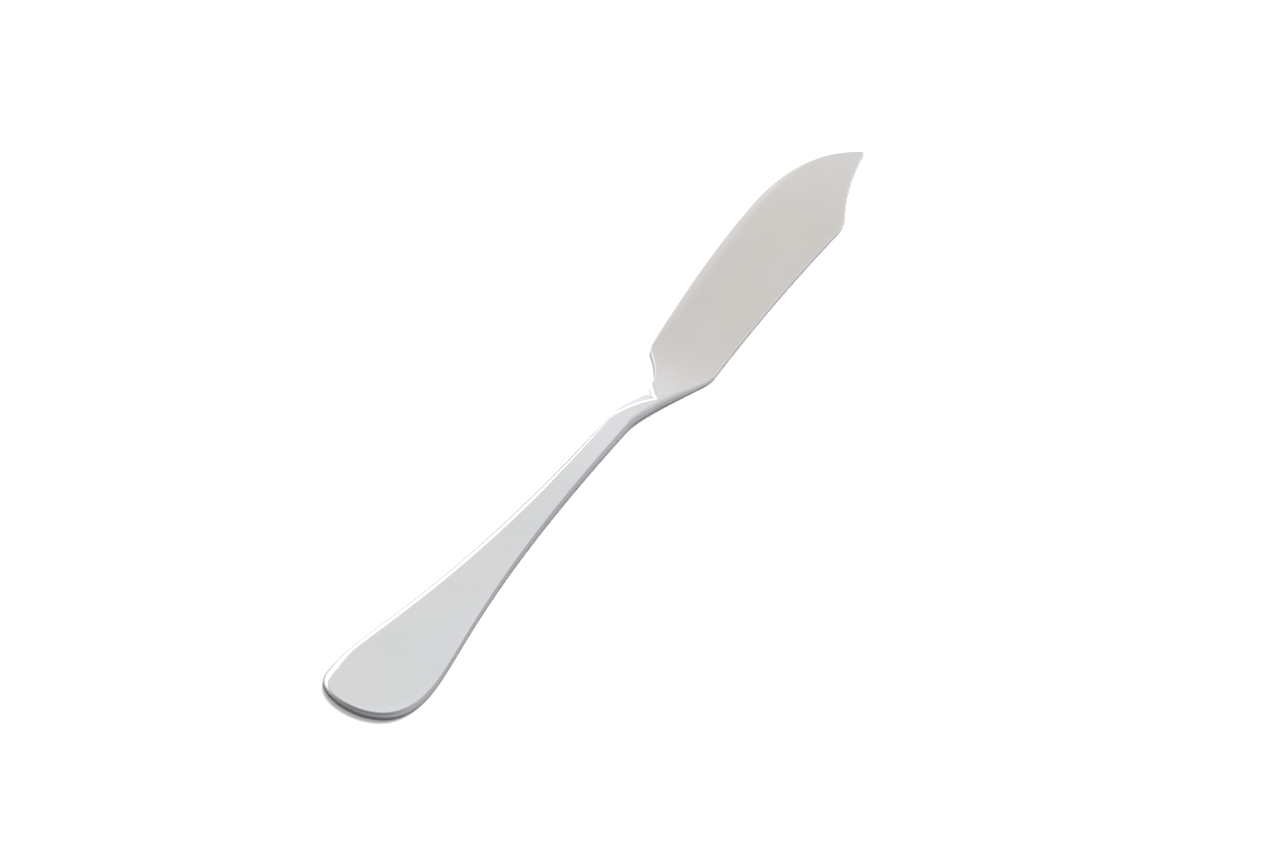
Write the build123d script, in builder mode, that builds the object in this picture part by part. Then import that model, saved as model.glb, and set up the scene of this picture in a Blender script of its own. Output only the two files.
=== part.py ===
import os
from math import cos, radians, sin

from build123d import *

# A table fish knife lying on its side. All sizes are in millimetres.
# x runs from the butt to the tip, y from the back to the belly, z up from the table.

# Handle outline, measured from the butt end and from the axis of the neck
handle_length = 92.2  # butt end to the seam at the neck
butt_end_inset = 0.3  # middle of the butt end, in from where the belly corner reaches back to
butt_end_offset = 2.27  # and off the axis towards the back
butt_end_bow = 4.7  # how blunt the butt end is, across
butt_end_slant = 1.1  # how much further the belly corner reaches back over that bow
butt_corner_bow = 5.75  # how full the two corners are, along
back_butt_station = 10.4  # widest place on the back side
back_butt_reach = 8.87
back_butt_hold = 10.7  # how far that width is held on towards the neck
back_neck_hold = 56.0  # how far the slim neck is held back from the seam
belly_butt_station = 6.8  # widest place on the belly side
belly_butt_reach = 10.58
belly_butt_hold = 11.9
belly_neck_hold = 59.0
neck_width = 4.85

# Blade outline, measured from the seam towards the tip
blade_length = 108.9  # seam to tip, with the blade's own stub of neck
back_neck_flow = 5.0  # how far the neck's two edges run on straight past the seam
belly_neck_flow = 7.6
heel_station = 21.4  # back corner of the heel
heel_reach = 9.32
heel_sweep = 0.39  # slope of the neck's back edge where it meets the heel
heel_hold = 7.5  # how far that slope is held back from the heel
back_reach = 8.07  # reach of the slightly hollow back half way along
notch_setback = 26.5  # tip back to the corner of the notch
notch_reach = 8.22
notch_hollow = 1.2  # how far the edge from the notch to the tip is hollowed
tip_reach = 0.67
tip_lead = 2.3  # how far the belly edge leans back as it leaves the tip
tip_lift = 5.2  # and how far it climbs there
belly_setback = 27.15  # tip back to the widest place of the belly
belly_reach = 13.0
belly_hold = 18.4  # how far the belly keeps its width towards the tip
spine_hold = 12.3  # how far it keeps its width towards the heel
shoulder_station = 23.9  # belly corner of the heel
shoulder_reach = 6.75
shoulder_slope = 0.19  # slope of the belly edge as it leaves the heel
shoulder_hold = 18.0  # how far that slope is held on from the heel
heel_edge_slope = 1.1  # slope of the edge that falls from the shoulder into the choil
heel_edge_hold = 3.0  # how far that slope is held back from the shoulder
choil_station = 13.6  # bottom of the open corner between the neck and the heel
choil_reach = 0.43
choil_neck_hold = 6.2  # how far the choil is held level towards the neck
choil_heel_hold = 2.5  # and towards the heel

# Rounded corners of the blade outline
heel_radius = 12.0
notch_radius = 7.5
shoulder_radius = 4.0
tip_radius = 0.5

# Side profile: heights of the underside above the table, and thicknesses
handle_rise = 0.12  # half way along the handle's arch
seam_rise = 0.12
butt_thickness = 1.8
handle_thickness = 1.9  # half way along the handle's arch
neck_thickness = 2.2
heel_thickness = 1.1
tip_thickness = 0.8

# Rolled edges
handle_top_roll = 0.8
handle_base_roll = 0.4
blade_top_roll = 0.5
blade_base_roll = 0.3
roll_share = 0.6  # most of a thickness that the top roll may take
base_share = 0.3  # most of a thickness that the base roll may take
corner_share = 0.8  # most of a sharp corner's radius that a roll may take

# Facet on the belly side of the neck, falling towards the choil
facet_lead = 4.0  # seam back to where the facet starts at the belly edge
facet_run = 9.4  # seam on to its far end
facet_crossing = 4.6  # how far it has crossed the neck at that end
facet_fall = 0.5  # how much lower the top of the neck is at that end
facet_tilt = 12.0  # degrees
riser_lean = 0.8  # how far its end wall runs on towards the heel, for each unit across

# Tang of the blade, brazed into the socket of the handle
tang_length = 12.0
tang_width = 2.6
tang_thickness = 1.0
braze_gap = 0.05

# Heights that follow from the side profile
handle_crown = handle_rise + handle_thickness
seam_crown = seam_rise + neck_thickness
seam_middle = (seam_rise + seam_crown) / 2

# The arched handle runs into the blade's neck with the same slopes above and below
seam_top_slope = (3 * seam_crown + butt_thickness - 4 * handle_crown) / handle_length
seam_base_slope = (3 * seam_rise - 4 * handle_rise) / handle_length
butt_top_slope = (4 * handle_crown - 3 * butt_thickness - seam_crown) / handle_length
butt_base_slope = (4 * handle_rise - seam_rise) / handle_length
blade_taper = (tip_thickness - heel_thickness) / (blade_length - shoulder_station)

# Rolls that fit the thinnest place of each piece
handle_wall = min(butt_thickness, handle_thickness, neck_thickness)
blade_wall = min(tip_thickness, heel_thickness)
handle_top_radius = min(handle_top_roll, roll_share * handle_wall, roll_share * neck_width / 2)
handle_base_radius = min(handle_base_roll, base_share * handle_wall)
blade_top_radius = min(blade_top_roll, roll_share * blade_wall, corner_share * tip_radius)
blade_base_radius = min(blade_base_roll, base_share * blade_wall, corner_share * tip_radius)

# The knife is drawn from its butt end, along the axis of its neck
overall_length = handle_length + blade_length
seam_foot = Vector(handle_length, 0, 0)
blade_plan = Plane(seam_foot)
blade_side = Plane(seam_foot, x_dir=(1, 0, 0), z_dir=(0, -1, 0))
seam_face = Plane(seam_foot + Vector(0, 0, seam_middle), x_dir=(0, 1, 0), z_dir=(1, 0, 0))

# The facet lies in a plane that is tipped about a line across the top of the neck
half_neck = neck_width / 2
facet_start = Vector(-facet_lead, half_neck, seam_crown)
facet_end = Vector(facet_run, half_neck - facet_crossing, seam_crown - facet_fall)
facet_line = facet_end - facet_start
facet_reach = 2 * neck_width
facet_across = Vector(0, 0, 1).cross(facet_line).normalized()
facet_down = facet_across * cos(radians(facet_tilt)) - Vector(0, 0, sin(radians(facet_tilt)))
facet_plane = Plane(seam_foot + facet_start, x_dir=facet_line, z_dir=facet_line.cross(facet_down))

os.makedirs("parts", exist_ok=True)

# What the facet takes away from both pieces
with BuildPart() as facet_cut:
    with BuildSketch(facet_plane):
        with BuildLine():
            Polyline(
                (0, 0),
                (facet_line.length, 0),
                (facet_line.length + riser_lean * facet_reach, facet_reach),
                (0, facet_reach),
                close=True,
            )
        make_face()
    extrude(amount=seam_crown)

# Handle: a paddle outline cut from an arched slab, its top edge softly rolled
butt_end = Vector(butt_end_inset, -butt_end_offset)
butt_end_way = Vector(-butt_end_slant, butt_end_bow)
slab_top = (-butt_end_slant, butt_thickness - butt_end_slant * butt_top_slope)
slab_base = (-butt_end_slant, -butt_end_slant * butt_base_slope)
with BuildPart() as handle:
    with BuildSketch(Plane.XY):
        with BuildLine():
            Bezier(
                butt_end,
                butt_end - butt_end_way,
                (back_butt_station - butt_corner_bow, -back_butt_reach),
                (back_butt_station, -back_butt_reach),
            )
            Bezier(
                (back_butt_station, -back_butt_reach),
                (back_butt_station + back_butt_hold, -back_butt_reach),
                (handle_length - back_neck_hold, -half_neck),
                (handle_length, -half_neck),
            )
            Line((handle_length, -half_neck), (handle_length, half_neck))
            Bezier(
                (handle_length, half_neck),
                (handle_length - belly_neck_hold, half_neck),
                (belly_butt_station + belly_butt_hold, belly_butt_reach),
                (belly_butt_station, belly_butt_reach),
            )
            Bezier(
                (belly_butt_station, belly_butt_reach),
                (belly_butt_station - butt_corner_bow, belly_butt_reach),
                butt_end + butt_end_way,
                butt_end,
            )
        make_face()
    extrude(amount=overall_length)
    with BuildSketch(Plane.XZ):
        with BuildLine():
            ThreePointArc(slab_base, (handle_length / 2, handle_rise), (handle_length, seam_rise))
            Line((handle_length, seam_rise), (handle_length, seam_crown))
            ThreePointArc((handle_length, seam_crown), (handle_length / 2, handle_crown), slab_top)
            Line(slab_top, slab_base)
        make_face()
    extrude(amount=overall_length, both=True, mode=Mode.INTERSECT)
    handle_top = handle.faces().sort_by(Axis.Z)[-1]
    fillet(handle_top.edges().filter_by(Axis.Y, reverse=True), handle_top_radius)
    handle_base = handle.faces().sort_by(Axis.Z)[0]
    fillet(handle_base.edges().filter_by(Axis.Y, reverse=True), handle_base_radius)
    add(facet_cut.part, mode=Mode.SUBTRACT)
    with BuildSketch(seam_face):
        Rectangle(tang_width + 2 * braze_gap, tang_thickness + 2 * braze_gap)
    extrude(amount=-(tang_length + braze_gap), mode=Mode.SUBTRACT)

# Blade: the outline from the neck round to the tip, thinned towards the tip, with its tang behind
heel = (heel_station, -heel_reach)
notch = (blade_length - notch_setback, -notch_reach)
tip = (blade_length, tip_reach)
belly = (blade_length - belly_setback, belly_reach)
shoulder = (shoulder_station, shoulder_reach)
choil = (choil_station, choil_reach)
corner_radii = {
    heel: heel_radius,
    notch: notch_radius,
    shoulder: shoulder_radius,
    tip: tip_radius,
}

with BuildPart() as blade:
    with BuildSketch(blade_plan) as outline:
        with BuildLine():
            Line((0, half_neck), (0, -half_neck))
            Bezier(
                (0, -half_neck),
                (back_neck_flow, -half_neck),
                (heel_station - heel_hold, -heel_reach + heel_hold * heel_sweep),
                heel,
            )
            ThreePointArc(heel, ((heel[0] + notch[0]) / 2, -back_reach), notch)
            SagittaArc(notch, tip, notch_hollow)
            Bezier(
                tip,
                (blade_length - tip_lead, tip_reach + tip_lift),
                (belly[0] + belly_hold, belly_reach),
                belly,
            )
            Bezier(
                belly,
                (belly[0] - spine_hold, belly_reach),
                (shoulder_station + shoulder_hold, shoulder_reach + shoulder_hold * shoulder_slope),
                shoulder,
            )
            Bezier(
                shoulder,
                (shoulder_station - heel_edge_hold, shoulder_reach - heel_edge_hold * heel_edge_slope),
                (choil_station + choil_heel_hold, choil_reach),
                choil,
            )
            Bezier(
                choil,
                (choil_station - choil_neck_hold, choil_reach),
                (belly_neck_flow, half_neck),
                (0, half_neck),
            )
        make_face()
        for corner, radius in corner_radii.items():
            fillet(outline.vertices().sort_by_distance(corner)[0], radius)
    extrude(amount=overall_length)
    with BuildSketch(blade_side):
        with BuildLine():
            Spline(
                (0, seam_crown),
                (shoulder_station, heel_thickness),
                tangents=((1, seam_top_slope), (1, blade_taper)),
            )
            Line((shoulder_station, heel_thickness), (blade_length, tip_thickness))
            Line((blade_length, tip_thickness), (blade_length, 0))
            Line((blade_length, 0), (heel_station, 0))
            Spline((heel_station, 0), (0, seam_rise), tangents=((-1, 0), (-1, -seam_base_slope)))
            Line((0, seam_rise), (0, seam_crown))
        make_face()
    extrude(amount=overall_length, both=True, mode=Mode.INTERSECT)
    blade_top = blade.faces().filter_by(lambda face: face.normal_at().Z > 0.5)
    fillet(blade_top.edges().filter_by(Axis.Y, reverse=True), blade_top_radius)
    blade_base = blade.faces().filter_by(lambda face: face.normal_at().Z < -0.5)
    fillet(blade_base.edges().filter_by(Axis.Y, reverse=True), blade_base_radius)
    add(facet_cut.part, mode=Mode.SUBTRACT)
    with BuildSketch(seam_face):
        Rectangle(tang_width, tang_thickness)
    extrude(amount=-tang_length)

# The origin lies on the table under the middle of the knife
knife_box = Compound([handle.part, blade.part]).bounding_box()
knife_middle = knife_box.center()
resting_place = Location((-knife_middle.X, -knife_middle.Y, -knife_box.min.Z))
for piece, name in ((handle, "handle"), (blade, "blade")):
    placed = piece.part.moved(resting_place)
    placed.label = name
    export_step(placed, f"parts/{name}.step")
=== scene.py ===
# fish knife of polished steel, lying on its side on a pale table
import math
from types import SimpleNamespace

import bmesh
import bpy
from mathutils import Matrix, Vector
from mathutils.geometry import interpolate_bezier


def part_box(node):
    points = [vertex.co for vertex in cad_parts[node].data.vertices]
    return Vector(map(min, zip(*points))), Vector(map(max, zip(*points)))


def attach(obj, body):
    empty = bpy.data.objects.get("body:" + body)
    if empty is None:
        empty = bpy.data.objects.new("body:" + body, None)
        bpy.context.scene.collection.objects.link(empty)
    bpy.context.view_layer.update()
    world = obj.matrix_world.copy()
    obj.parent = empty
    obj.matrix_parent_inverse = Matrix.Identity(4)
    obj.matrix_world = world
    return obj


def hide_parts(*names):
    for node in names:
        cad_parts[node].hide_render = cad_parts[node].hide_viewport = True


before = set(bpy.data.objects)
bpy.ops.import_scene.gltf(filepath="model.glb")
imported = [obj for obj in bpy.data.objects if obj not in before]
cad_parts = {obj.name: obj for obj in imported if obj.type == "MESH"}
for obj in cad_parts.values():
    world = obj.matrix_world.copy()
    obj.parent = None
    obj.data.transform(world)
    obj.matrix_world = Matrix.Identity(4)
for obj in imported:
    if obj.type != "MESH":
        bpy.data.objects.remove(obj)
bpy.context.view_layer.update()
mm = 0.001

# where the knife lies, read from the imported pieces
handleLow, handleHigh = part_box("handle")


class Wire:  # one socket of a node tree; sums on it add Math nodes
    def __init__(self, tree, socket=None):
        self.tree = tree
        self.socket = socket

    def add(self, kind, settings, sockets, out=0):
        node = self.tree.nodes.new("ShaderNode" + kind)
        for key, value in settings.items():
            setattr(node, key, value)
        for key, value in sockets.items():
            if isinstance(value, Wire):
                self.tree.links.new(value.socket, node.inputs[key])
            else:
                node.inputs[key].default_value = value
        return Wire(self.tree, node.outputs[out] if node.outputs else None)

    def sums(self, operation, first, second):
        return self.add("Math", {"operation": operation}, {0: first, 1: second})

    def along(self, way):  # how far this vector reaches in a direction
        return self.add("VectorMath", {"operation": "DOT_PRODUCT"}, {0: self, 1: way}, out=1)

    def fade(self, low, high):  # smooth step from 0 to 1
        return self.add("MapRange", {"interpolation_type": "SMOOTHSTEP"}, {0: self, 1: low, 2: high})

    def mixed(self, first, second):  # two colours, this being the share of the second
        return self.add("Mix", {"data_type": "RGBA"}, {0: self, 6: first, 7: second}, out=2)

    def __add__(self, other):
        return self.sums("ADD", self, other)

    def __radd__(self, other):
        return self.sums("ADD", other, self)

    def __sub__(self, other):
        return self.sums("SUBTRACT", self, other)

    def __rsub__(self, other):
        return self.sums("SUBTRACT", other, self)

    def __mul__(self, other):
        return self.sums("MULTIPLY", self, other)

    def __rmul__(self, other):
        return self.sums("MULTIPLY", other, self)


# knife blank, in mm: x from the butt end, y from the middle of the handle, z up from the table

handleForm = {
    "length": 92.2,  # butt end to the seam
    "end": (0.3, -2.27),
    "endBow": (-1.1, 4.7),  # slanted, so that the far corner reaches further back
    "nearButt": (10.4, -8.87),  # widest places
    "farButt": (6.8, 10.58),
    "cornerBow": 5.75,
    "nearHold": (10.7, 56.0),  # from the butt and from the neck
    "farHold": (11.9, 59.0),
    "neckHalves": (2.22, 2.425),  # near and far
    "topHeights": (1.8, 2.02, 2.32),  # butt, half way, seam
    "baseHeights": (0.0, 0.12, 0.12),
    "crown": 0.12,  # rise of the face across its width
    "tang": (12.0, 2.6, 1.0),
    "brazeGap": 0.05,
}

bladeForm = {
    "length": 108.9,  # seam to tip
    "neckFlow": (5.0, 7.6),  # near and far
    "heel": (21.4, -9.18),
    "heelHold": (7.5, 2.9),
    "notch": (82.4, -8.1),
    "backHollow": 0.7,
    "tip": (108.9, 0.67),
    "notchHollow": 1.2,
    "tipHold": (-2.3, 5.2),
    "belly": (81.75, 13.0),
    "bellyHold": 18.4,
    "spineHold": 12.3,
    "shoulder": (23.9, 6.75),
    "shoulderHold": (18.0, 3.4),
    "heelEdgeHold": (-3.0, -3.3),
    "choil": (13.6, 0.43),
    "choilHold": (6.2, 2.5),  # towards the neck and towards the heel
    "corners": {"heel": 1.5, "notch": 3.0, "tip": 0.6, "shoulder": 1.2},
    "heelThickness": 1.1,
    "tipThickness": 0.8,
    "underFlat": 21.4,  # from here on it lies on the table
    "crown": 0.12,
    "crownSpan": (2.0, 10.0),  # its middle and half its width
    "crownRun": 30.0,  # it comes in over this length from the seam
}

# rolled edges: keys of x and sizes along the near and the far side
# sizes are the roll's width, depth and flatness, then width and depth of the soft shoulder inside it
edgeForm = {
    "pitch": 0.4,  # spacing of outline points
    "fewest": 8,  # of them on a span
    "cornerPoints": 7,  # round a corner
    "cornerPull": 0.6,  # how far its curve is drawn to the sharp corner
    "near": (
        (2, (0.5, 0.5, 1.0, 1.6, 0.05)),
        (10, (0.32, 0.35, 1.0, 1.0, 0.03)),
        (76, (0.32, 0.35, 1.0, 0.3, 0.01)),
        (92, (0.6, 1.0, 1.0, 0.2, 0.01)),
        (104, (0.6, 0.9, 1.0, 0.2, 0.01)),
        (114, (0.25, 0.35, 1.0, 0.2, 0.01)),
        (165, (0.2, 0.28, 1.0, 0.3, 0.01)),
        (178, (0.2, 0.28, 1.0, 1.2, 0.02)),
        (192, (0.2, 0.25, 1.0, 1.2, 0.02)),
        (199, (0.2, 0.25, 1.0, 0.1, 0.0)),
    ),
    "far": (
        (0.2, (0.3, 0.6, 1.0, 0.3, 0.0)),
        (5.6, (3.6, 1.4, 1.0, 0.3, 0.0)),
        (14, (2.4, 0.8, 1.0, 0.3, 0.0)),
        (42, (2.3, 0.76, 1.0, 0.3, 0.0)),
        (60, (1.7, 0.7, 1.2, 0.2, 0.0)),
        (75, (1.15, 0.62, 1.45, 0.2, 0.0)),
        (90, (0.9, 0.52, 1.6, 0.2, 0.0)),
        (100, (0.3, 0.14, 1.0, 0.2, 0.0)),
        (106, (0.15, 0.12, 1.0, 0.2, 0.0)),
        (115, (0.15, 0.12, 1.0, 0.3, 0.01)),
        (132, (0.3, 0.3, 1.0, 2.6, 0.08)),
        (180, (0.3, 0.3, 1.0, 2.8, 0.08)),
        (196, (0.25, 0.3, 1.0, 0.1, 0.0)),
    ),
    "turn": (0.48, 0.84),  # how far round the butt one gives way to the other
    "evening": (28.0, 32),  # reach from the butt, and rounds
    "softSteps": 4,
    "rimShade": ((0, (0.2,)), (20, (1.0,)), (60, (1.0,)), (84, (0.0,))),  # painted shade: darkness by the turn of the roll
    "rimShadeReach": ((1.0, (1.0,)), (8.0, (0.0,))),  # only at the butt end
    "rimShadeTurn": ((0.1, (1.0,)), (0.45, (0.0,))),  # and not round the far corner
    "base": ((6, (0.15,)), (16, (0.12,)), (200, (0.1,))),
    "topSteps": 12,
    "baseSteps": 4,
    "stations": 1.5,  # spacing of cuts across the faces
    "rows": 1.6,  # spacing of cuts along them
    "rowSpan": (-9.0, 12.0),
    "cutSnap": 0.02,  # a point this close to a cut is taken as on it
    "neck": ((84.0, 112.0), (-4.5, 2.6), 0.4),  # where and how finely the neck is cut
}

# cutting the blank into its two pieces at the seam
pieceForm = {
    "snap": 0.001,  # like cutSnap, at the seam
    "weld": 0.002,  # points closer than this are joined
    "facing": 0.999,  # least share of an end face's normal that points along the knife
    "crease": 50.0,  # degrees from which an edge is drawn sharp
}

# facet on the far side of the neck, ending in a riser that runs on from the heel
facetForm = {
    "start": (82.0, 2.3),  # its ridge leaves the far edge here and swings across the neck
    "turn": (102.0, -2.9),
    "swing": 3.0,
    "tilt": 23.0,
    "riserTilt": 50.0,
    "soft": 0.2,  # rounding of the ridge and of the riser's crease
    "riserSoft": 0.45,
    "edge": 0.4,  # thickness that it leaves
}


def spot(place, fromX=0.0):
    return Vector((fromX + place[0], place[1], 0.0))


def bowed(start, end, rise):  # shallow arc, bowed to the left of the way
    way = end - start
    side = Vector((-way.y, way.x, 0.0)).normalized() * rise * 4 / 3
    return (start, start.lerp(end, 1 / 3) + side, start.lerp(end, 2 / 3) + side, end)


def handleSpans():  # along the near side to the seam, and from it back along the far side
    form = handleForm
    nearHalf, farHalf = form["neckHalves"]
    nearHold, nearNeckHold = form["nearHold"]
    farHold, farNeckHold = form["farHold"]
    seam = form["length"]
    end = spot(form["end"])
    endBow = spot(form["endBow"])
    cornerBow = spot((form["cornerBow"], 0.0))
    nearButt = spot(form["nearButt"])
    farButt = spot(form["farButt"])
    buttNear = (end, end - endBow, nearButt - cornerBow, nearButt)
    sideNear = (
        nearButt,
        nearButt + spot((nearHold, 0.0)),
        spot((seam - nearNeckHold, -nearHalf)),
        spot((seam, -nearHalf)),
    )
    sideFar = (
        spot((seam, farHalf)),
        spot((seam - farNeckHold, farHalf)),
        farButt + spot((farHold, 0.0)),
        farButt,
    )
    buttFar = (farButt, farButt - cornerBow, end + endBow, end)
    return ((buttNear, None), (sideNear, None)), ((sideFar, None), (buttFar, None))


def bladeSpans():  # from the seam round the tip and back, each with the corner that it ends in
    form = bladeForm
    nearHalf, farHalf = handleForm["neckHalves"]
    nearFlow, farFlow = form["neckFlow"]
    heelRun, heelRise = form["heelHold"]
    neckHold, edgeHold = form["choilHold"]
    seam = handleForm["length"]
    heel = spot(form["heel"], seam)
    notch = spot(form["notch"], seam)
    tip = spot(form["tip"], seam)
    belly = spot(form["belly"], seam)
    shoulder = spot(form["shoulder"], seam)
    choil = spot(form["choil"], seam)
    neckNear = (
        spot((seam, -nearHalf)),
        spot((seam + nearFlow, -nearHalf)),
        heel + spot((-heelRun, heelRise)),
        heel,
    )
    bellySpan = (tip, tip + spot(form["tipHold"]), belly + spot((form["bellyHold"], 0.0)), belly)
    spineSpan = (
        belly,
        belly - spot((form["spineHold"], 0.0)),
        shoulder + spot(form["shoulderHold"]),
        shoulder,
    )
    heelEdge = (shoulder, shoulder + spot(form["heelEdgeHold"]), choil + spot((edgeHold, 0.0)), choil)
    neckFar = (
        choil,
        choil - spot((neckHold, 0.0)),
        spot((seam + farFlow, farHalf)),
        spot((seam, farHalf)),
    )
    return (
        (neckNear, "heel"),
        (bowed(heel, notch, form["backHollow"]), "notch"),
        (bowed(notch, tip, form["notchHollow"]), "tip"),
        (bellySpan, None),
        (spineSpan, "shoulder"),
        (heelEdge, None),
        (neckFar, None),
    )


def outlinePoints():
    corners = bladeForm["corners"]
    pull = edgeForm["cornerPull"]
    nearSpans, farSpans = handleSpans()
    points = []
    reachBefore = 0.0
    for span, corner in nearSpans + bladeSpans() + farSpans:
        start, end = span[0], span[3]
        reach = corners[corner] if corner else 0.0
        count = max(edgeForm["fewest"], round((end - start).length / edgeForm["pitch"]))
        run = [
            point
            for point in interpolate_bezier(*span, count)
            if (point - start).length >= reachBefore and (point - end).length >= reach
        ]
        if reachBefore:  # the rounded corner, aimed at the sharp one
            bend = (points[-1], points[-1].lerp(start, pull), run[0].lerp(start, pull), run[0])
            points += interpolate_bezier(*bend, edgeForm["cornerPoints"])[1:-1]
        elif points:
            run = run[1:]
        points += run
        reachBefore = reach
    return points[:-1]


def keyed(x, keys):  # smooth steps from the sizes of one key to those of the next
    if x <= keys[0][0]:
        return keys[0][1]
    for (x0, sizes0), (x1, sizes1) in zip(keys, keys[1:]):
        if x <= x1:
            t = (x - x0) / (x1 - x0)
            blend = t * t * (3 - 2 * t)
            return [size0 + (size1 - size0) * blend for size0, size1 in zip(sizes0, sizes1)]
    return keys[-1][1]


def arch(x, heights):  # parabola through the butt, half way and the seam
    t = x / handleForm["length"]
    first, middle, last = heights
    return first + t * (4 * middle - 3 * first - last) + t * t * (2 * first + 2 * last - 4 * middle)


def archSlope(heights):  # at the seam
    first, middle, last = heights
    return (first + 3 * last - 4 * middle) / handleForm["length"]


def eased(t, run, height0, slope0, height1, slope1):  # height between two places with given slopes
    return (
        height0 * (2 * t ** 3 - 3 * t ** 2 + 1)
        + slope0 * run * (t ** 3 - 2 * t ** 2 + t)
        + height1 * (3 * t ** 2 - 2 * t ** 3)
        + slope1 * run * (t ** 3 - t ** 2)
    )


def topHeight(x):
    seam = handleForm["length"]
    if x <= seam:
        return arch(x, handleForm["topHeights"])
    along = x - seam
    heel = bladeForm["shoulder"][0]
    taper = (bladeForm["tipThickness"] - bladeForm["heelThickness"]) / (bladeForm["length"] - heel)
    if along >= heel:
        return bladeForm["heelThickness"] + taper * (along - heel)
    heights = handleForm["topHeights"]
    return eased(along / heel, heel, heights[2], archSlope(heights), bladeForm["heelThickness"], taper)


def baseHeight(x):
    seam = handleForm["length"]
    if x <= seam:
        return arch(x, handleForm["baseHeights"])
    along = x - seam
    flat = bladeForm["underFlat"]
    if along >= flat:
        return 0.0
    heights = handleForm["baseHeights"]
    return eased(along / flat, flat, heights[2], archSlope(heights), 0.0, 0.0)


def softMin(first, second, soft):
    gap = max(soft - abs(first - second), 0.0) / soft
    return min(first, second) - gap * gap * soft / 4


def facetDrop(x, y):
    start = Vector(facetForm["start"])
    turn = Vector(facetForm["turn"])
    choil = Vector((handleForm["length"] + bladeForm["choil"][0], bladeForm["choil"][1]))
    riser = (choil - turn).normalized()
    swing = facetForm["swing"]
    run = turn.x - start.x
    drop = start.y - turn.y
    t = (x - start.x) / run
    slope = swing * drop / run * abs(t) ** (swing - 1)
    fall = (y - start.y + drop * t * abs(t) ** (swing - 1)) / math.hypot(1.0, slope)
    fall = fall * math.tan(math.radians(facetForm["tilt"]))
    riserFall = riser.cross(Vector((x, y)) - turn) * math.tan(math.radians(facetForm["riserTilt"]))
    soft = facetForm["soft"]
    fall = -softMin(-fall, 0.0, soft)
    riserFall = -softMin(-riserFall, 0.0, facetForm["riserSoft"])
    deepest = topHeight(x) - baseHeight(x) - facetForm["edge"]
    return softMin(min(fall, riserFall), deepest, soft)


def crown(x, y):
    seam = handleForm["length"]
    middle, half = bladeForm["crownSpan"]
    blend = keyed(x, ((seam, (0.0,)), (seam + bladeForm["crownRun"], (1.0,))))[0]
    handleCrown = -handleForm["crown"] * (y / handleForm["farButt"][1]) ** 2
    bladeCrown = -bladeForm["crown"] * ((y - middle) / half) ** 2
    return handleCrown * (1 - blend) + bladeCrown * blend


def topSkin(x, y):
    return topHeight(x) + crown(x, y) - facetDrop(x, y)


def growRing(bm, cap, keepCap=False):
    grown = bmesh.ops.extrude_face_region(bm, geom=[cap])
    if not keepCap:
        bmesh.ops.delete(bm, geom=[cap], context="FACES_ONLY")
    return next(item for item in grown["geom"] if isinstance(item, bmesh.types.BMFace))


def cutFaces(bm, faces, place, normal, snap):
    edges = {edge for face in faces for edge in face.edges}
    verts = {vert for face in faces for vert in face.verts}
    geom = faces + list(edges) + list(verts)
    bmesh.ops.bisect_plane(bm, geom=geom, dist=snap, plane_co=place, plane_no=normal)


def spaced(low, high, pitch):
    return [low + pitch * count for count in range(math.ceil((high - low) / pitch))]


def cutPlanes(stations, rows):
    across = [(Vector((x, 0, 0)), Vector((1, 0, 0))) for x in stations]
    return across + [(Vector((0, y, 0)), Vector((0, 1, 0))) for y in rows]


def cutSkin(bm, skin):  # stations across both faces and rows along them, closer on top of the neck
    (lowX, highX), (lowY, highY), neckPitch = edgeForm["neck"]
    neckStations = spaced(lowX, highX, neckPitch)
    neckRows = spaced(lowY, highY, neckPitch)
    pitch = edgeForm["stations"]
    stations = spaced(pitch, handleForm["length"] + bladeForm["length"], pitch)
    stations = [x for x in stations if x not in neckStations]  # those are cut with the neck
    rows = spaced(*edgeForm["rowSpan"], edgeForm["rows"])
    for plane in cutPlanes(stations, rows):
        cutFaces(bm, [face for face in bm.faces if face[skin]], *plane, edgeForm["cutSnap"])
    for plane in cutPlanes(neckStations, neckRows):
        top = [face for face in bm.faces if face[skin] == 1]
        neck = [face for face in top if lowX < face.calc_center_median().x < highX]
        cutFaces(bm, neck, *plane, edgeForm["cutSnap"])


def edgeSizes(point, way):  # inward direction, then all sizes of the edge at one outline point
    inward = Vector((-way.y, way.x)).normalized()
    low, high = edgeForm["turn"]
    near = keyed(point.x, edgeForm["near"])
    far = keyed(point.x, edgeForm["far"])
    rimShade = keyed(point.x, edgeForm["rimShadeReach"])[0] * keyed(-inward.y, edgeForm["rimShadeTurn"])[0]
    return [*inward, *keyed(-inward.y, ((low, near), (high, far))), rimShade]


def evened(points, rows):  # sizes eased from point to point round the butt
    reach, rounds = edgeForm["evening"]
    for _ in range(rounds):
        before = rows[-1:] + rows[:-1]
        after = rows[1:] + rows[:1]
        rows = [
            [(a + 2 * b + c) / 4 for a, b, c in zip(*trio)] if point.x < reach else trio[1]
            for point, trio in zip(points, zip(before, rows, after))
        ]
    return rows


def ringLayers(bm):  # what an outline point hands on to the rings that are grown from it
    vectors = bm.verts.layers.float_vector
    shares = bm.verts.layers.float
    return SimpleNamespace(
        edge=vectors.new("edge"),
        inward=vectors.new("inward"),
        roll=vectors.new("roll"),
        shoulder=vectors.new("shoulder"),
        rimShade=shares.new("rimShade"),
        pale=shares.new("pale"),
    )


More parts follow.
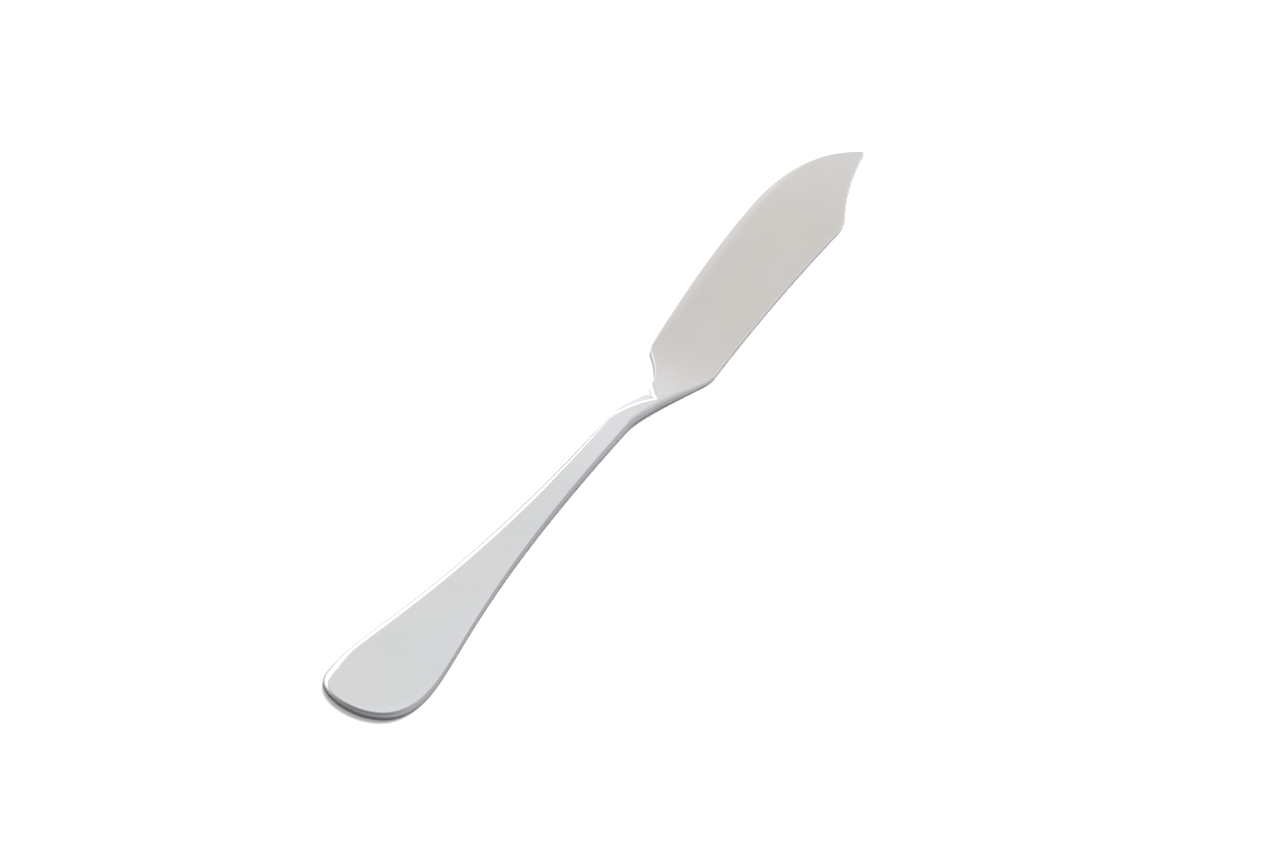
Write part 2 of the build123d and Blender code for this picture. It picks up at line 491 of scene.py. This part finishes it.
def outlineRing(bm, layer):
    points = outlinePoints()
    ways = [after - before for before, after in zip(points[-1:] + points[:-1], points[1:] + points[:1])]
    rows = evened(points, [edgeSizes(point, way) for point, way in zip(points, ways)])
    ring = [bm.verts.new(point) for point in points]
    for vert, (inX, inY, *sizes) in zip(ring, rows):
        vert[layer.edge] = vert.co
        vert[layer.inward] = Vector((inX, inY, 0.0)).normalized()
        vert[layer.roll] = sizes[:3]
        vert[layer.shoulder] = sizes[3:]
    return ring


def rollTop(bm, top, layer):  # ring by ring up to the soft shoulder
    for step in range(edgeForm["topSteps"] + 1):
        turn = math.radians(90 * step / edgeForm["topSteps"])
        if step:
            top = growRing(bm, top)
        for vert in top.verts:
            width, depth, flatness = vert[layer.roll]
            _, softDepth, rimShadeShare = vert[layer.shoulder]
            inset = vert[layer.inward] * width * (1 - max(math.cos(turn), 0.0) ** flatness)
            place = vert[layer.edge] + inset
            drop = depth * (1 - math.sin(turn) ** flatness) + softDepth
            vert.co = (place.x, place.y, topSkin(place.x, place.y) - drop)
            # painted shade on the roll, held on its points
            vert[layer.rimShade] = rimShadeShare * keyed(math.degrees(turn), edgeForm["rimShade"])[0]
            vert[layer.pale] = 1.0
    return top


def softenTop(bm, top, layer):  # soft shoulder between the roll and the face
    for step in range(1, edgeForm["softSteps"] + 1):
        top = growRing(bm, top)
        share = step / edgeForm["softSteps"]
        for vert in top.verts:
            softWidth, softDepth, _ = vert[layer.shoulder]
            place = vert[layer.edge] + vert[layer.inward] * (vert[layer.roll].x + softWidth * share)
            drop = softDepth * (1 - share) ** 2
            vert.co = (place.x, place.y, topSkin(place.x, place.y) - drop)
            vert[layer.rimShade] = 0.0
            vert[layer.pale] = 1 - share
    return top


def rollBase(bm, base, layer):
    for step in range(edgeForm["baseSteps"] + 1):
        turn = math.radians(90 * step / edgeForm["baseSteps"])
        if step:
            base = growRing(bm, base)
        for vert in base.verts:
            width = keyed(vert[layer.edge].x, edgeForm["base"])[0]
            place = vert[layer.edge] + vert[layer.inward] * width * (1 - math.cos(turn))
            vert.co = (place.x, place.y, baseHeight(place.x) + width * (1 - math.sin(turn)))
    return base


def knifeBlank():
    bm = bmesh.new()
    layer = ringLayers(bm)
    skin = bm.faces.layers.int.new("skin")  # 1 on the upper face, 2 on the lower one
    base = bm.faces.new(outlineRing(bm, layer))
    top = growRing(bm, base, keepCap=True)
    top = rollTop(bm, top, layer)
    top = softenTop(bm, top, layer)
    base = rollBase(bm, base, layer)
    top[skin] = 1
    base[skin] = 2
    cutSkin(bm, skin)
    for face in bm.faces:
        if face[skin]:
            height = topSkin if face[skin] == 1 else lambda x, y: baseHeight(x)
            for vert in face.verts:
                vert.co.z = height(vert.co.x, vert.co.y)
    bmesh.ops.recalc_face_normals(bm, faces=bm.faces)
    print("knife blank,", len(bm.faces), "faces")
    return bm


def buttPlace():  # where the blank's zero lies in the frame
    x = handleHigh.x - handleForm["length"] * mm
    y = handleLow.y - handleForm["nearButt"][1] * mm
    return Vector((x, y, 0.0))


def endFaces(bm):  # those that look along the knife
    return [face for face in bm.faces if abs(face.normal.x) > pieceForm["facing"]]


def closeSeam(bm, keepHandle):  # keep one side of the seam and put an end face on it
    cut = bmesh.ops.bisect_plane(
        bm,
        geom=list(bm.verts) + list(bm.edges) + list(bm.faces),
        dist=pieceForm["snap"],
        plane_co=(handleForm["length"], 0, 0),
        plane_no=(1, 0, 0),
        clear_outer=keepHandle,
        clear_inner=not keepHandle,
    )
    seamEdges = [item for item in cut["geom_cut"] if isinstance(item, bmesh.types.BMEdge)]
    for edge in seamEdges:
        edge.smooth = False
    bmesh.ops.contextual_create(bm, geom=seamEdges)


def growTang(bm, keepHandle):  # the tang on the blade, its socket in the handle
    seam = handleForm["length"]
    length, width, thickness = handleForm["tang"]
    gap = handleForm["brazeGap"] if keepHandle else 0.0
    middle = (handleForm["topHeights"][2] + handleForm["baseHeights"][2]) / 2
    sides = (
        (Vector((seam, width / 2 + gap, middle)), Vector((0, 1, 0))),
        (Vector((seam, -width / 2 - gap, middle)), Vector((0, 1, 0))),
        (Vector((seam, 0, middle + thickness / 2 + gap)), Vector((0, 0, 1))),
        (Vector((seam, 0, middle - thickness / 2 - gap)), Vector((0, 0, 1))),
    )
    for plane in sides:
        cutFaces(bm, endFaces(bm), *plane, pieceForm["snap"])
    centre = Vector((seam, 0, middle))
    mouth = min(endFaces(bm), key=lambda face: (face.calc_center_median() - centre).length)
    mouth = growRing(bm, mouth)
    bmesh.ops.translate(bm, verts=mouth.verts, vec=(-length - gap, 0, 0))


def knifePiece(blank, name, keepHandle):
    bm = blank.copy()
    closeSeam(bm, keepHandle)
    growTang(bm, keepHandle)
    bmesh.ops.remove_doubles(bm, verts=bm.verts, dist=pieceForm["weld"])
    bmesh.ops.recalc_face_normals(bm, faces=bm.faces)
    for face in bm.faces:
        face.smooth = True
    for edge in bm.edges:
        if edge.calc_face_angle(0.0) > math.radians(pieceForm["crease"]):
            edge.smooth = False
    bmesh.ops.scale(bm, vec=(mm, mm, mm), verts=bm.verts)
    bmesh.ops.translate(bm, vec=buttPlace(), verts=bm.verts)
    mesh = bpy.data.meshes.new(name)
    bm.to_mesh(mesh)
    bm.free()
    piece = bpy.data.objects.new(name, mesh)
    bpy.context.scene.collection.objects.link(piece)
    print(name, "made,", len(mesh.polygons), "faces")
    return piece


# finishes

handleSteel = {
    "clean": (0.79, 0.795, 0.80, 1.0),
    "dull": (0.755, 0.762, 0.765, 1.0),  # under finger marks
    "tint": (0.80, 0.792, 0.782, 1.0),
    "neck": (0.85, 0.851, 0.862, 1.0),  # painted highlight: brighter towards the neck
    "roughness": (0.085, 0.085),  # at the seam and away from it
    "grain": 0.03,
    "marks": 0.07,
    "rimShade": (0.30, 0.30, 0.31, 1.0),  # painted shade on the roll of the butt end
}

bladeSteel = {
    "clean": (0.79, 0.795, 0.80, 1.0),  # at the seam
    "dull": (0.70, 0.664, 0.636, 1.0),
    "tint": (0.80, 0.792, 0.782, 1.0),
    # painted highlight at the seam, as on the handle
    "neck": (0.85, 0.851, 0.862, 1.0),
    "body": (0.70, 0.655, 0.625, 1.0),
    "bodyTint": (0.706, 0.67, 0.634, 1.0),
    "tip": (0.735, 0.724, 0.708, 1.0),
    "paling": (72.0, 112.0),  # from the seam, in mm
    "roughness": (0.085, 0.17),
    "grain": 0.045,
    "marks": 0.06,
}

useMarks = {
    "grain": ((0.03, 1.0, 1.0), 2600.0, 3.0),  # stretch, scale and detail of the polishing lines
    "smudge": ((0.7, 1.0, 1.0), 80.0, 3.0),
    "smudgeFade": (0.5, 0.72),  # values of the noise over which finger marks come in
    "smudgeShare": 0.5,
    "cloud": ((0.5, 1.0, 1.0), 40.0, 1.0),
    "cloudFade": (0.35, 0.65),
    "patch": ((1.0, 1.0, 1.0), 130.0, 2.0),  # where scratches show
    "patchFade": (0.52, 0.66),
    "scratch": ((11.0, (45.0, 800.0, 1.0)), (-7.0, (60.0, 620.0, 1.0))),  # lean and stretch
    "scratchWidth": 0.03,
    "scratchDepth": 0.4,  # as a share of the grain's height
    "bump": (0.02, 0.02),  # strength, and height in mm
    "fadeIn": 36.0,  # the blade's haze comes in over this length, in mm
    "neckHighlight": (-28.0, -2.0),  # painted highlight: the handle brightens towards the neck, mm from the seam
}


def startMaterial(name):
    material = bpy.data.materials.new(name)
    material.use_nodes = True
    material.node_tree.nodes.clear()
    return material, Wire(material.node_tree)


def steelFinish(name, steel):
    material, wire = startMaterial(name)
    coords = wire.add("TexCoord", {}, {}, out=3)

    def noise(stretch, scale, detail):
        mapped = wire.add("Mapping", {}, {"Vector": coords, "Scale": stretch})
        return wire.add("TexNoise", {}, {"Vector": mapped, "Scale": scale, "Detail": detail})

    def painted(layer):  # a share held on the mesh's points, the painted shade among them
        return wire.add("Attribute", {"attribute_name": layer}, {}, out=2)

    def fromSeam(*places):
        return [handleHigh.x + place * mm for place in places]

    grain = noise(*useMarks["grain"])
    smudge = noise(*useMarks["smudge"]).fade(*useMarks["smudgeFade"])
    cloud = noise(*useMarks["cloud"]).fade(*useMarks["cloudFade"])
    patch = noise(*useMarks["patch"]).fade(*useMarks["patchFade"])
    scratches = 0.0
    for lean, stretch in useMarks["scratch"]:
        turn = (0.0, 0.0, math.radians(lean))
        turned = wire.add("Mapping", {}, {"Vector": coords, "Rotation": turn, "Scale": stretch})
        cells = wire.add(
            "TexVoronoi",
            {"feature": "DISTANCE_TO_EDGE", "voronoi_dimensions": "2D"},
            {"Vector": turned, "Scale": 1.0},
        )
        scratches = scratches + (1.0 - cells.fade(0.0, useMarks["scratchWidth"])) * patch
    along = coords.along((1.0, 0.0, 0.0))
    haze = along.fade(*fromSeam(0.0, useMarks["fadeIn"]))
    seamRough, farRough = steel["roughness"]
    rough = seamRough + haze * (farRough - seamRough) + (grain - 0.5) * steel["grain"]
    rough = rough + smudge * steel["marks"] + scratches * steel["marks"]
    colour = cloud.mixed(steel["clean"], steel["tint"])
    # painted highlight towards the neck
    colour = along.fade(*fromSeam(*useMarks["neckHighlight"])).mixed(colour, steel["neck"])
    if "body" in steel:
        paling = along.fade(*fromSeam(*steel["paling"]))
        paling = wire.sums("MAXIMUM", paling, painted("pale").fade(0.0, 1.0))
        body = paling.mixed(cloud.mixed(steel["body"], steel["bodyTint"]), steel["tip"])
        colour = haze.mixed(colour, body)
    colour = (smudge * useMarks["smudgeShare"]).mixed(colour, steel["dull"])
    # painted shade on the roll of the butt end
    if "rimShade" in steel:
        colour = painted("rimShade").mixed(colour, steel["rimShade"])
    height = grain - scratches * useMarks["scratchDepth"]
    strength, rise = useMarks["bump"]
    bump = wire.add("Bump", {}, {"Height": height, "Strength": strength, "Distance": rise * mm})
    shader = wire.add(
        "BsdfPrincipled", {}, {"Base Color": colour, "Metallic": 1.0, "Roughness": rough, "Normal": bump}
    )
    wire.add("OutputMaterial", {}, {"Surface": shader})
    return material


blank = knifeBlank()
handlePiece = knifePiece(blank, "polishedHandle", True)
bladePiece = knifePiece(blank, "polishedBlade", False)
blank.free()
handlePiece.data.materials.append(steelFinish("handleSteel", handleSteel))
bladePiece.data.materials.append(steelFinish("bladeSteel", bladeSteel))
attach(handlePiece, "root")
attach(bladePiece, "root")
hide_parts("handle")
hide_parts("blade")
print("pieces finished and riding on the root body")


# table and studio

studio = {
    "tableSize": 6.0,  # in m, like the drop
    "tableDrop": 0.00002,
    "tableColour": (0.92, 0.92, 0.92, 1.0),
    # the table as the steel mirrors it in front, a painted reflection in greys: close by, further out, and at
    # the blade
    "tableClose": (0.325, 0.325, 0.335, 1.0),
    "tableNear": (0.335, 0.335, 0.345, 1.0),
    "tableRays": (1.5, 5.0),  # lengths of mirrored rays over which that comes in, in mm
    "tableBlade": (0.44, 0.44, 0.45, 1.0),
    "bladeSpan": (104.0, 122.0),  # mm from the butt end over which it comes in
    # and behind it, a painted reflection where the table glows for mirrored rays: at the butt, along the
    # handle and past the neck, with mm from the butt end like bladeSpan
    "tableButt": (0.84, 0.84, 0.90, 1.0),
    "buttSpan": (4.0, 12.0),
    "tableBack": (0.42, 0.42, 0.46, 1.0),
    "backSpan": (20.0, 64.0),
    "tableFar": (0.96, 0.95, 1.0, 1.0),
    "farSpan": (88.0, 98.0),
    "behindSpan": (-2.0, 2.0),  # across the knife's axis, from in front of it to behind, in mm
    "plain": (1.0, 1.0, 1.0, 1.0),
    # light on the table: an even dome and a soft key from the back right
    "dome": (0.54, 0.546, 0.557, 1.0),
    "key": 4.08,
    "keyTurn": 30.0,  # degrees to the right of straight back
    "keyLift": 53.0,
    "keySize": 30.0,  # degrees across
    # the room that the steel mirrors: a colour comes in over a span of the ray's rise, or of its turn
    "backLow": (1.0, 0.99, 1.06, 1.0),
    "backWhite": (1.45, 1.45, 1.47, 1.0),
    "whiteRise": (0.10, 0.18),
    "backFace": (0.84, 0.845, 0.85, 1.0),
    "faceRise": (0.43, 0.52),
    "backHigh": (0.88, 0.91, 0.95, 1.0),
    "highRise": (0.70, 0.86),
    "frontLow": (0.55, 0.55, 0.56, 1.0),
    "frontHigh": (0.80, 0.80, 0.81, 1.0),
    "frontRise": (0.45, 0.62),
    "right": (0.70, 0.70, 0.71, 1.0),
    "rightTurn": (0.25, 0.6),
    "backTurn": (0.08, 0.62),
}

shot = {
    "lens": 85.0,
    "sensor": 36.0,
    "azimuth": -59.8,
    "elevation": 40.0,
    "distance": 0.5998,
    "target": (94.65, -3.49, 0.0),  # on the table, in mm from the blank's zero
}


def tableFinish():  # plain to the camera, with painted reflections where the steel mirrors it
    material, wire = startMaterial("paleTable")
    coords = wire.add("TexCoord", {}, {}, out=3)
    place = buttPlace()
    fromAxis = coords.along((0.0, 1.0, 0.0)) - place.y
    fromButt = coords.along((1.0, 0.0, 0.0)) - place.x
    mirrored = wire.add("LightPath", {}, {}, out=3)
    rayLength = wire.add("LightPath", {}, {}, out=8)

    def past(value, span):
        low, high = studio[span]
        return value.fade(low * mm, high * mm)

    front = past(rayLength, "tableRays").mixed(studio["tableClose"], studio["tableNear"])
    front = past(fromButt, "bladeSpan").mixed(front, studio["tableBlade"])
    lit = wire.add("BsdfDiffuse", {}, {"Color": mirrored.mixed(studio["tableColour"], front)})
    behind = past(fromButt, "backSpan").mixed(studio["tableButt"], studio["tableBack"])
    behind = past(fromButt, "farSpan").mixed(behind, studio["tableFar"])
    # painted reflection: behind the knife the table glows for mirrored rays, untouched by shadows
    mirroredGlow = wire.add("Emission", {}, {"Color": behind, "Strength": 1.0})
    share = mirrored * past(fromAxis, "behindSpan") * past(fromButt, "buttSpan")
    shader = wire.add("MixShader", {}, {0: share, 1: lit, 2: mirroredGlow})
    wire.add("OutputMaterial", {}, {"Surface": shader})
    return material


def makeTable():
    bm = bmesh.new()
    bmesh.ops.create_grid(bm, x_segments=1, y_segments=1, size=studio["tableSize"] / 2)
    bmesh.ops.translate(bm, verts=bm.verts, vec=(0, 0, -studio["tableDrop"]))
    mesh = bpy.data.meshes.new("table")
    bm.to_mesh(mesh)
    bm.free()
    mesh.materials.append(tableFinish())
    table = bpy.data.objects.new("table", mesh)
    bpy.context.scene.collection.objects.link(table)


def studioWays():  # right, back and up, as the camera stands
    turn = math.radians(shot["azimuth"])
    rightWay = Vector((math.cos(turn), math.sin(turn), 0.0))
    backWay = Vector((-math.sin(turn), math.cos(turn), 0.0))
    return rightWay, backWay, Vector((0.0, 0.0, 1.0))


def makeKey():
    rightWay, backWay, upWay = studioWays()
    turn = math.radians(studio["keyTurn"])
    lift = math.radians(studio["keyLift"])
    level = backWay * math.cos(turn) + rightWay * math.sin(turn)
    keyWay = level * math.cos(lift) + upWay * math.sin(lift)
    key = bpy.data.lights.new("key", "SUN")
    key.energy = studio["key"]
    key.angle = math.radians(studio["keySize"])
    lamp = bpy.data.objects.new("key", key)
    lamp.rotation_mode = "QUATERNION"
    lamp.rotation_quaternion = keyWay.to_track_quat("Z", "Y")
    lamp.visible_glossy = False  # the steel mirrors the room instead
    bpy.context.scene.collection.objects.link(lamp)


def makeRoom():  # plain to the camera, an even dome on the table, walls in the steel
    world = bpy.data.worlds.new("studio")
    bpy.context.scene.world = world
    world.use_nodes = True
    world.node_tree.nodes.clear()
    wire = Wire(world.node_tree)
    ray = wire.add("TexCoord", {}, {}, out=0)
    right, back, up = [ray.along(way) for way in studioWays()]
    backWall = up.fade(*studio["whiteRise"]).mixed(studio["backLow"], studio["backWhite"])
    backWall = up.fade(*studio["faceRise"]).mixed(backWall, studio["backFace"])
    backWall = up.fade(*studio["highRise"]).mixed(backWall, studio["backHigh"])
    front = up.fade(*studio["frontRise"]).mixed(studio["frontLow"], studio["frontHigh"])
    sides = right.fade(*studio["rightTurn"]).mixed(front, studio["right"])
    room = back.fade(*studio["backTurn"]).mixed(sides, backWall)
    seen = wire.add("LightPath", {}, {}, out=0)
    mirrored = wire.add("LightPath", {}, {}, out=3)
    shown = seen.mixed(mirrored.mixed(studio["dome"], room), studio["plain"])
    background = wire.add("Background", {}, {"Color": shown, "Strength": 1.0})
    wire.add("OutputWorld", {}, {"Surface": background})


def makeCamera():
    data = bpy.data.cameras.new("camera")
    data.lens = shot["lens"]
    data.sensor_width = shot["sensor"]
    data.sensor_fit = "HORIZONTAL"
    camera = bpy.data.objects.new("camera", data)
    turn = math.radians(shot["azimuth"])
    lift = math.radians(shot["elevation"])
    away = Vector((math.sin(turn) * math.cos(lift), -math.cos(turn) * math.cos(lift), math.sin(lift)))
    camera.location = buttPlace() + Vector(shot["target"]) * mm + away * shot["distance"]
    camera.rotation_mode = "QUATERNION"
    camera.rotation_quaternion = (-away).to_track_quat("-Z", "Y")
    bpy.context.scene.collection.objects.link(camera)
    bpy.context.scene.camera = camera


makeTable()
makeKey()
makeRoom()
makeCamera()
bpy.context.scene.view_settings.view_transform = "Standard"
print("table, studio and camera set")
